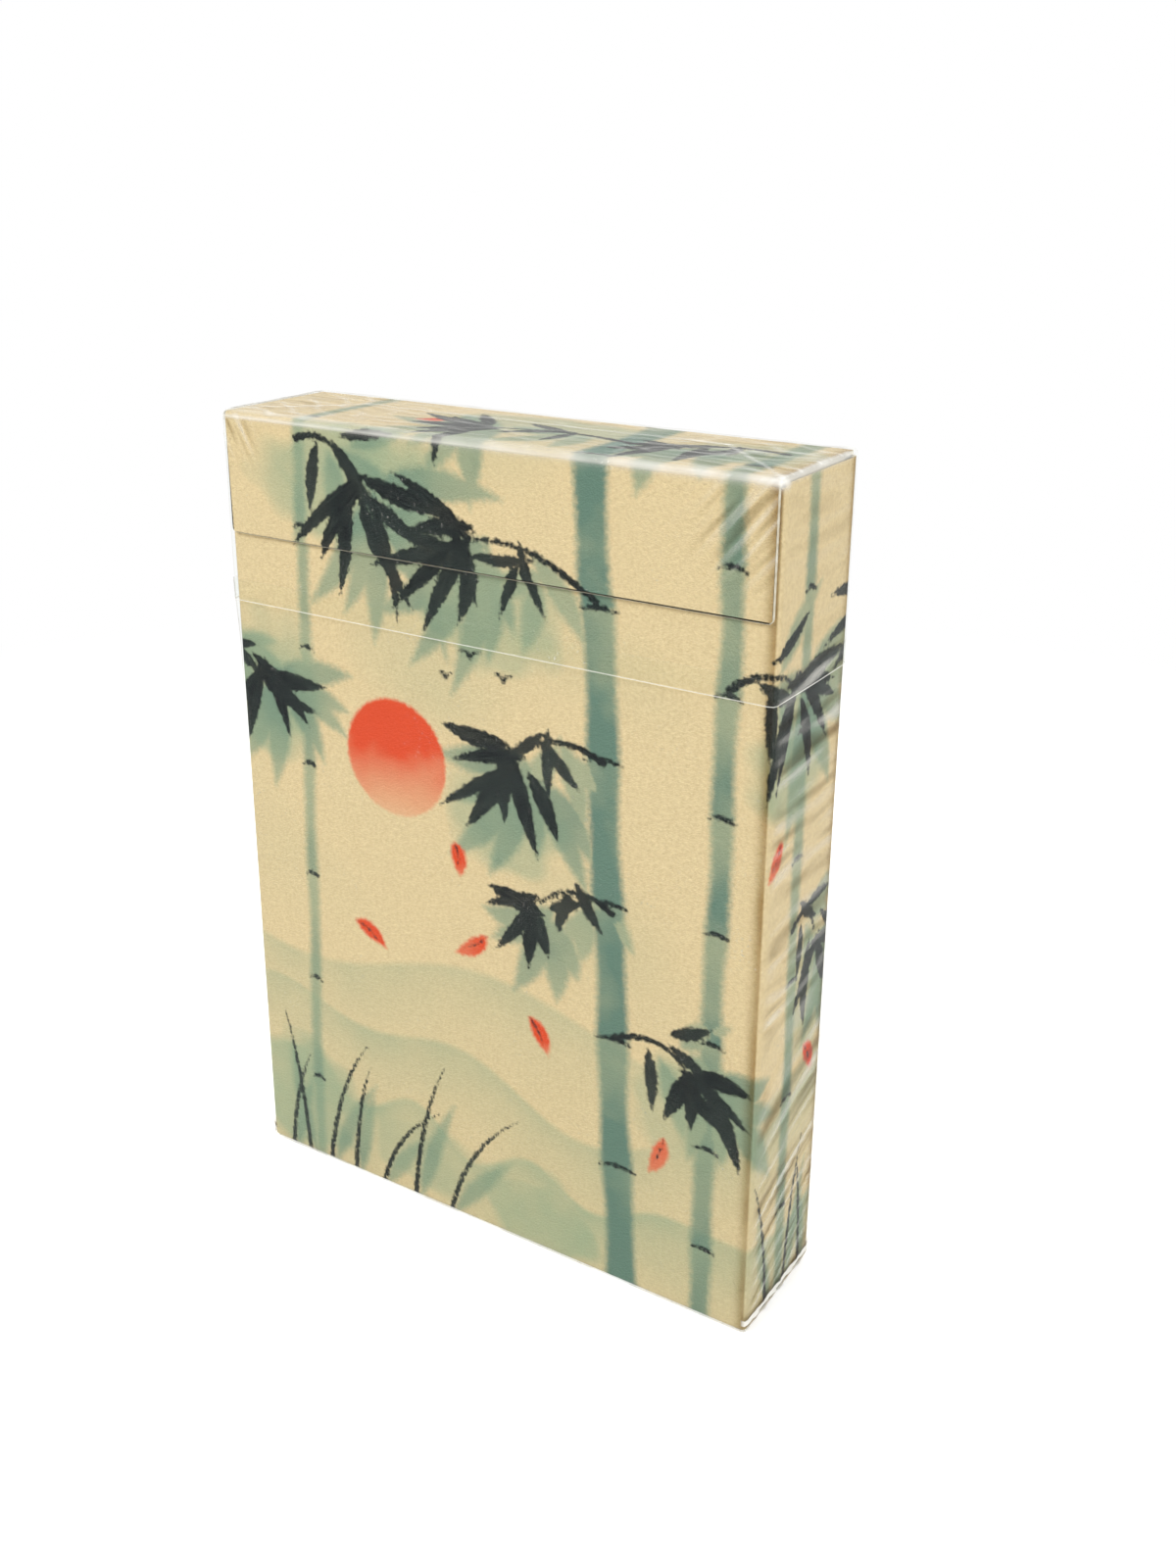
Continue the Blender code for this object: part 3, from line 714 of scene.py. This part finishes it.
# Folds and scuffing whiten the film, and the lit flanks add their painted highlight; a mark below zero is
# painted shade, tinting what is seen through
milk_and_painted_light = node(tree, "Attribute", attribute_name="milk_and_painted_light")
shade = node(tree, "Math", {0: milk_and_painted_light.outputs["Fac"], 1: -1.0, 2: painted_shade_flank.outputs[0]},
             operation="MULTIPLY_ADD", use_clamp=True)
scuffs_and_highlight = node(tree, "TexNoise", {"Vector": place.outputs["Object"], "Scale": 1 / FILM_SCUFF, "Detail": 2.0})
scuffs_and_highlight = node(tree, "MapRange", {0: scuffs_and_highlight.outputs[0], 1: 0.64, 2: 0.76, 4: 0.3})
patches = node(tree, "MapRange", {0: ripple.outputs[0], 1: 0.5, 2: 0.68})
scuffs_and_highlight = node(tree, "Math", {0: scuffs_and_highlight.outputs[0], 1: patches.outputs[0], 2: painted_highlight_flank.outputs[0]},
              operation="MULTIPLY_ADD")
milk_and_painted_light = node(tree, "Math", {0: milk_and_painted_light.outputs["Fac"], 1: scuffs_and_highlight.outputs[0]}, operation="ADD", use_clamp=True)
# A thin film shines alike from both sides: little straight on, and fully where it is seen edge on
slant = node(tree, "LayerWeight", {"Blend": 0.5, "Normal": relief.outputs[0]})
slant = node(tree, "Math", {0: slant.outputs["Facing"], 1: 5.0}, operation="POWER")
glint = node(tree, "MapRange", {0: slant.outputs[0], 3: FILM_GLOSS, 4: FILM_GLOSS_EDGE_ON})
shade = node(tree, "Math", {0: slant.outputs[0], 1: FILM_EDGE_SHADE, 2: shade.outputs[0]},
             operation="MULTIPLY_ADD", use_clamp=True)
clear = node(tree, "Mix", {"Factor": shade.outputs[0], "A": linear(FILM_CLEAR), "B": linear(FILM_SHADED)},
             data_type="RGBA")
through = node(tree, "BsdfTransparent", {"Color": clear.outputs["Result"]})
gloss = node(tree, "BsdfGlossy", {"Color": linear("#FFFFFF"), "Roughness": 0.06,
                                  "Normal": relief.outputs[0]})
film = node(tree, "MixShader", {0: glint.outputs[0], 1: through.outputs[0], 2: gloss.outputs[0]})
milk_and_highlight_diffuse = node(tree, "BsdfDiffuse", {"Color": linear(FILM_MILK_AND_HIGHLIGHT)})
film = node(tree, "MixShader", {0: milk_and_painted_light.outputs[0], 1: film.outputs[0], 2: milk_and_highlight_diffuse.outputs[0]})
node(tree, "OutputMaterial", {"Surface": film.outputs[0]})

# Its inner face only lets light through, so that one sheet of film has one gloss
film_inside, tree = new_material("film inner face")
through = node(tree, "BsdfTransparent", {"Color": linear("#FFFFFF")})
node(tree, "OutputMaterial", {"Surface": through.outputs[0]})


def ridge(distance, half_width):
    """1 on a line, falling softly to nothing on both sides of it."""
    return np.exp(-(distance / half_width) ** 2)


# Where the lid's corners pull on the front film: place, reach and direction in degrees
CORNER_PULLS = [((62.6, 86.2), 4.2, 48.0), ((1.6, 87.6), 2.4, 118.0)]
# How much finer these are than the wrinkles of the sides, and how strong
CORNER_FINER = 2.2
CORNER_PULL = 0.8


def drawn(u, v):
    """How the film is drawn into wrinkles: place across and along them in mm, and how strongly."""
    w, d, h = width / MM, depth_y / MM, height / MM
    right = np.clip(np.minimum(u - w, w + d - u) / WRINKLE_FADE, 0, 1)
    left = np.clip(np.minimum(-u, u + d) / WRINKLE_FADE, 0, 1)
    back = np.where(u > w, u - w, -u)
    low = np.clip((STEEP_BELOW - v) / STEEP_REACH, 0, 1)
    steep = LEVEL_SLOPE + ADDED_SLOPE * low
    slant = np.hypot(1, steep)
    across, along = (1 + 0.8 * low) * (v - steep * back) / slant, (back + steep * v) / slant
    # Stronger towards the foot, so the wrinkles put more painted shade and highlight on the lower sides
    strength = (right + left) * np.clip(0.75 + 0.4 * swell(u, v, 24, 43) + 0.3 * low, 0.35, 1)
    strength = strength * np.where(v > tape_top / MM, TIGHT_ABOVE_TAPE, 1.0)
    for middle, reach, turn in CORNER_PULLS:
        near = ridge(np.hypot(u - middle[0], v - middle[1]), reach) * ((u > 0) & (u < w))
        way = math.cos(math.radians(turn)), math.sin(math.radians(turn))
        across = np.where(near > 0.02, CORNER_FINER * (u * way[1] - v * way[0]), across)
        along = np.where(near > 0.02, u * way[0] + v * way[1], along)
        strength = strength + CORNER_PULL * near
    on_top = v > h + 0.3
    across = np.where(on_top, TOP_FINER * v + TOP_SWAY * swell(u, v, 8, 61), across)
    along = np.where(on_top, TOP_SHORTER * u, along)
    return across, along, np.where(on_top, 0.22 + 0.33 * np.abs(2 * u / w - 1), strength)


def wrinkles(u, v, top):
    """How far the film stands off, in mm, at a place on the unrolled box."""
    w, h = width / MM, height / MM
    across, _, strength = drawn(u, v)
    phase = 2 * math.pi * (across / PLEAT_SPACING + 0.5 * swell(u, v, 19, 41))
    pleats = np.clip(np.cos(phase), 0, 1) ** 3 + 0.5 * np.clip(np.cos(2.3 * phase + 2), 0, 1) ** 4
    rise = FILM_WAVE * (1 + swell(u, v, 13, 31)) + PLEAT_RISE * strength * pleats * (v < h)
    if top:
        ends = np.clip(0.4 + np.abs(u / w - 0.5), 0, 1)
        rise = rise + END_CRINKLE * np.clip(v - h, 0, 1) * (1 + swell(u, v, 5.5, 51)) * ends
    return rise


def end_fold_marks(u, over):
    """Milky marks of the envelope fold at an end: its mitres, its free edge and its layers."""
    reach = np.minimum(u, width / MM - u)
    mitre = 0.38 * ridge(reach - over, FOLD_LINE) * (over < FOLD_REACH)
    free_edge = 0.3 * ridge(over - FOLD_REACH, 0.25) * (reach > FOLD_REACH)
    crinkle = 0.25 * ridge(swell(u, over, 5.5, 73), 0.10)
    layers = 0.01 + 0.03 * (reach > over)
    return mitre + free_edge + layers + crinkle * np.clip(1.2 - reach / 30, 0.35, 1)


def film_piece(name, body, bm, spacing, thickness, core_low, core_high, milk_and_painted_light, top=False):
    """Cut a film sheet fine, wrinkle it, give it its thickness and hang it on its body."""
    cut_fine(bm, spacing, lambda co: True)
    mesh = bpy.data.meshes.new(name)
    bm.to_mesh(mesh)
    bm.free()
    flat = mesh_points(mesh)
    u, v = unrolled(flat)
    if top:
        on_top = flat[:, 2] > cap_high.z - NEAR_TOP
        u = np.where(on_top, (flat[:, 0] - carton_low.x) / MM, u)
        v = np.where(on_top, height / MM + (flat[:, 1] - cap_low.y) / MM, v)
    points, facing = rounded(flat, np.array(core_low), np.array(core_high))
    points = points + facing * wrinkles(u, v, top)[:, None] * MM
    # Below the lid's flap the film lies back against the front panel
    drop = np.clip((tape_top - flat[:, 2]) / HUG_LENGTH, 0, 1)
    front = np.clip(-points[:, 1] / (depth_y / 2), 0, 1)
    points[:, 1] += HUG * drop * drop * (3 - 2 * drop) * front
    mesh.vertices.foreach_set("co", points.ravel())
    mesh.shade_smooth()
    marks = np.clip(milk_and_painted_light(u, v, flat), DEEPEST_PAINTED_SHADE, FULLEST_MILK_AND_HIGHLIGHT)
    mesh.attributes.new("milk_and_painted_light", "FLOAT", "POINT").data.foreach_set("value", marks.astype(np.float32))
    pull = np.stack(drawn(u, v), axis=1).astype(np.float32)
    mesh.attributes.new("pull", "FLOAT_VECTOR", "POINT").data.foreach_set("vector", pull.ravel())
    piece = bpy.data.objects.new(name, mesh)
    bpy.context.scene.collection.objects.link(piece)
    wall = piece.modifiers.new("film", "SOLIDIFY")
    wall.thickness = thickness
    wall.offset = -1.0
    wall.material_offset = 1
    wall.material_offset_rim = 1
    show(piece, clear_film)
    piece.data.materials.append(film_inside)
    walled = piece.evaluated_get(bpy.context.evaluated_depsgraph_get())
    piece.data = bpy.data.meshes.new_from_object(walled)
    piece.modifiers.clear()
    piece.data.set_sharp_from_angle(angle=math.radians(60))
    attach(piece, body)
    return piece


# The film runs a little inside its solid, which leaves room for the wrinkles
wrap_low = sleeve_low + Vector((WRAP_INSET, WRAP_INSET, FOOT_INSET))
wrap_high = sleeve_high - Vector((WRAP_INSET, WRAP_INSET, 0.0))
bm = box_sides(wrap_low, wrap_high, ("left", "right", "front", "back", "bottom"))
trim(bm, [(2, tape_top), (1, rear_cut)] + [(2, level) for level in FOOT_LINE],
     lambda middle: middle.z > tape_top and middle.y < rear_cut)


def sleeve_milk_and_painted_light(u, v, flat):
    """Milky marks and painted light on the wrap: painted highlight and shade at the foot of each side, the
    seam up the back and the fold underneath.
    """
    w, d = width / MM, depth_y / MM
    on_side, on_back = ((u > w + 0.1) & (u < w + d - 0.1)) | (u < -0.1), u > w + d
    marks = on_side * np.interp(flat[:, 2], FOOT_LINE, FOOT_MARK, right=0.0)
    past_seam = u - (w + d + 0.5 * w)
    overlap = np.abs(past_seam - SEAM_WIDTH / 2) < SEAM_WIDTH / 2
    marks += on_back * (0.35 * ridge(past_seam, SEAM_LINE) + 0.06 * overlap)
    under = flat[:, 2] < wrap_low.z + NEAR_FOOT
    return np.where(under, end_fold_marks(flat[:, 0] / MM + w / 2, (flat[:, 1] - wrap_low.y) / MM), marks)


sleeve = film_piece("film_sleeve_wrap", "box", bm, SLEEVE_MESH, FILM_THICKNESS,
                    (wrap_low.x + FILM_EDGE, wrap_low.y + FILM_EDGE, wrap_low.z + FILM_EDGE),
                    (wrap_high.x - FILM_EDGE, wrap_high.y - FILM_EDGE, FAR), sleeve_milk_and_painted_light)
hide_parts("film_sleeve")


# The tear tape: a narrow clear tape bonded round the film, whose free end starts the tear.
# It is stiffer than the film, and its cut lower edge has a painted highlight, a thin bright line.

TAPE_WIDTH = 2.5 * MM
TAPE_THICKNESS = 0.02 * MM
TAPE_EDGE = 0.065 * MM

tape_foot = tape_top - TAPE_WIDTH
proud = Vector((TAPE_THICKNESS * 1.5, TAPE_THICKNESS * 1.5, 0.0))
bm = box_sides(Vector((wrap_low.x, wrap_low.y, tape_foot)) - proud,
               Vector((wrap_high.x, wrap_high.y, tape_top)) + proud, ("left", "right", "front", "back"))
trim(bm, [(2, tape_foot + up) for up in (TAPE_EDGE, 1.5 * TAPE_EDGE, TAPE_WIDTH - TAPE_EDGE)])


def tape_edge_highlights(u, v, flat):
    """The tape's cut edges as painted highlights: the lower one bright, the upper one faint."""
    up = flat[:, 2] - tape_foot
    return 0.75 * (up < 1.1 * TAPE_EDGE) + 0.12 * (up > TAPE_WIDTH - TAPE_EDGE / 2)


tape = film_piece("tear_tape", "box", bm, SLEEVE_MESH, TAPE_THICKNESS,
                  (wrap_low.x + FILM_EDGE, wrap_low.y + FILM_EDGE, -FAR),
                  (wrap_high.x - FILM_EDGE, wrap_high.y - FILM_EDGE, FAR), tape_edge_highlights)
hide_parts("film_sleeve")


# The film above the tape: once the tape is pulled it lifts off as a cap, with the envelope fold on
# its top.  The folded layers look milky, and its creased edges get painted highlights.

CAP_EDGE = 0.7 * MM
CAP_INSET = 0.06 * MM

over_back = sleeve_high.z + TEAR_GAP
cover = Vector((cap_high.x, carton_high.y, cap_high.z - CAP_INSET))
bm = box_sides(cap_low, cover, ("left", "right", "front", "top"))
trim(bm, [(1, cap_high.y), (2, over_back)], lambda middle: middle.y > cap_high.y and middle.z < over_back)


def cap_milk_and_highlights(u, v, flat):
    """Milky marks and painted highlights on the cap: highlights on its folded edges and its tucked corners,
    and the envelope fold on top.
    """
    w, h = width / MM, height / MM
    over = v - h
    rightward = 0.15 + 0.85 * np.clip(u / w, 0, 1)
    front_edge_highlight = 0.6 * ridge(over + 0.15, 0.55) * rightward * (1 + 0.4 * swell(u, v, 6, 71))
    twin_highlight_lines = 0.5 * (ridge(over + 0.4, 0.16) + ridge(over - 0.5, 0.16)) * np.clip(1.1 - u / w, 0, 1)
    ahead = np.clip((rear_cut - flat[:, 1]) / MM, 0, 1)
    side_edge_highlight = 0.65 * ridge(np.minimum(u, w - u), 0.3) * (over > 0.05) * ahead
    rim_highlight = 0.6 * ridge(over + 0.1, 0.3) * ((u > w) | (u < 0)) * ahead
    tuck_highlights = 0.6 * ridge(np.hypot(np.maximum(u - w, -u) - 0.2, over + 0.5), 0.45) * (flat[:, 1] < 0)
    front = (front_edge_highlight + twin_highlight_lines) * ((u > 0) & (u < w))
    return front + side_edge_highlight + rim_highlight + tuck_highlights + np.where(over > 0.3, end_fold_marks(u, over), 0.0)


cap = film_piece("film_cap_wrap", "film_cap", bm, CAP_MESH, FILM_THICKNESS,
                 (cap_low.x + CAP_EDGE, cap_low.y + CAP_EDGE, -FAR),
                 (cover.x - CAP_EDGE, FAR, cover.z - CAP_EDGE), cap_milk_and_highlights, top=True)
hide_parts("film_cap")


# The table and the light: a white sweep that runs out to plain white, a soft lamp at the front left,
# a fill on the right, and a lamp behind that the film doesn't mirror.

FLOOR = "#F4F4F3"
FLOOR_BOUNCE = "#E0DCD4"
FLOOR_SIZE = 6.0
FLOOR_LIFT = 0.5
SHADOW_REACH = 0.25
ROOM_LIGHT = 0.45


def seen_directly(tree):
    """1 where the camera looks, also by way of gloss or through film; 0 for light that spreads."""
    ray = node(tree, "LightPath")
    seen = node(tree, "Math", {0: ray.outputs["Is Camera Ray"], 1: ray.outputs["Is Glossy Ray"]},
                operation="MAXIMUM")
    return node(tree, "Math", {0: seen.outputs[0], 1: ray.outputs["Is Transmission Ray"]},
                operation="MAXIMUM")


# White matt table paint: bright to the eye, with the box's soft shadow, and a warmer grey to the light
floor_paint, tree = new_material("white table paint")
place = node(tree, "TexCoord")
matt = node(tree, "BsdfDiffuse", {"Color": linear(FLOOR)})
seen = node(tree, "Emission", {"Color": linear("#FFFFFF"), "Strength": FLOOR_LIFT})
lifted = node(tree, "AddShader", {0: matt.outputs[0], 1: seen.outputs[0]})
white = node(tree, "Emission", {"Color": linear("#FFFFFF"), "Strength": 1.0})
away = node(tree, "VectorMath", {0: place.outputs["Object"]}, operation="LENGTH")
away = node(tree, "MapRange", {0: away.outputs["Value"], 1: SHADOW_REACH / 2, 2: SHADOW_REACH},
            interpolation_type="SMOOTHSTEP")
sweep = node(tree, "MixShader", {0: away.outputs[0], 1: lifted.outputs[0], 2: white.outputs[0]})
bounce = node(tree, "BsdfDiffuse", {"Color": linear(FLOOR_BOUNCE)})
surface = node(tree, "MixShader", {0: seen_directly(tree).outputs[0], 1: bounce.outputs[0],
                                   2: sweep.outputs[0]})
node(tree, "OutputMaterial", {"Surface": surface.outputs[0]})
bm = bmesh.new()
bmesh.ops.create_grid(bm, x_segments=1, y_segments=1, size=FLOOR_SIZE / 2)
mesh = bpy.data.meshes.new("table")
bm.to_mesh(mesh)
bm.free()
table = bpy.data.objects.new("table", mesh)
bpy.context.scene.collection.objects.link(table)
show(table, floor_paint)

world = bpy.data.worlds.new("studio")
bpy.context.scene.world = world
world.use_nodes = True
tree = world.node_tree
tree.nodes.clear()
soft = node(tree, "Background", {"Color": linear("#FFFFFF"), "Strength": ROOM_LIGHT})
white = node(tree, "Background", {"Color": linear("#FFFFFF"), "Strength": 1.0})
sky = node(tree, "MixShader", {0: seen_directly(tree).outputs[0], 1: soft.outputs[0], 2: white.outputs[0]})
node(tree, "OutputWorld", {"Surface": sky.outputs[0]})


def softbox(name, place, aim, size, power, mirrored=True):
    """A square soft lamp, which glossy film may mirror or not."""
    lamp = bpy.data.lights.new(name, "AREA")
    lamp.size = size
    lamp.energy = power
    stand = bpy.data.objects.new(name, lamp)
    bpy.context.scene.collection.objects.link(stand)
    stand.visible_glossy = mirrored
    stand.location = place
    stand.rotation_euler = (Vector(aim) - Vector(place)).to_track_quat("-Z", "Y").to_euler()


MIDDLE = (0.0, 0.0, 0.045)
softbox("key softbox", (-0.28, -0.52, 0.62), MIDDLE, 0.26, 3.8)
softbox("fill softbox", (0.75, -0.25, 0.35), MIDDLE, 0.4, 3.3)
softbox("back softbox", (-0.35, 0.75, 0.45), MIDDLE, 0.4, 4.0, mirrored=False)


# The camera: a phone held close, looking down past the right front corner.  Its angles, distance, focal
# length and lens axis, a pixel near the middle of the frame, are those that put the corners of the box
# in their places in the picture.

CAMERA_AZIMUTH = 32.717
CAMERA_ELEVATION = 19.993
CAMERA_ROLL = 0.126
CAMERA_DISTANCE = 0.16549
CAMERA_TARGET = Vector((0.00569, 0.0, 0.06105))
FOCAL_PIXELS = 1633.1
LENS_AXIS = (578.4, 730.3)
IMAGE_WIDTH, IMAGE_HEIGHT = 1200, 1600

turn, lift = math.radians(CAMERA_AZIMUTH), math.radians(CAMERA_ELEVATION)
towards = Vector((math.sin(turn) * math.cos(lift), -math.cos(turn) * math.cos(lift), math.sin(lift)))
lens = bpy.data.cameras.new("camera")
lens.sensor_width = 36.0
lens.lens = FOCAL_PIXELS / IMAGE_HEIGHT * lens.sensor_width
lens.shift_x = (IMAGE_WIDTH / 2 - LENS_AXIS[0]) / IMAGE_HEIGHT
lens.shift_y = (LENS_AXIS[1] - IMAGE_HEIGHT / 2) / IMAGE_HEIGHT
lens.clip_start = 0.01
lens.clip_end = 20.0
camera = bpy.data.objects.new("camera", lens)
bpy.context.scene.collection.objects.link(camera)
aim = towards.to_track_quat("Z", "Y").to_matrix().to_4x4()
camera.matrix_world = (Matrix.Translation(CAMERA_TARGET + towards * CAMERA_DISTANCE) @ aim
                       @ Matrix.Rotation(math.radians(CAMERA_ROLL), 4, "Z"))
bpy.context.scene.camera = camera
bpy.context.scene.view_settings.view_transform = "Standard"
bpy.context.scene.cycles.transparent_max_bounces = 32
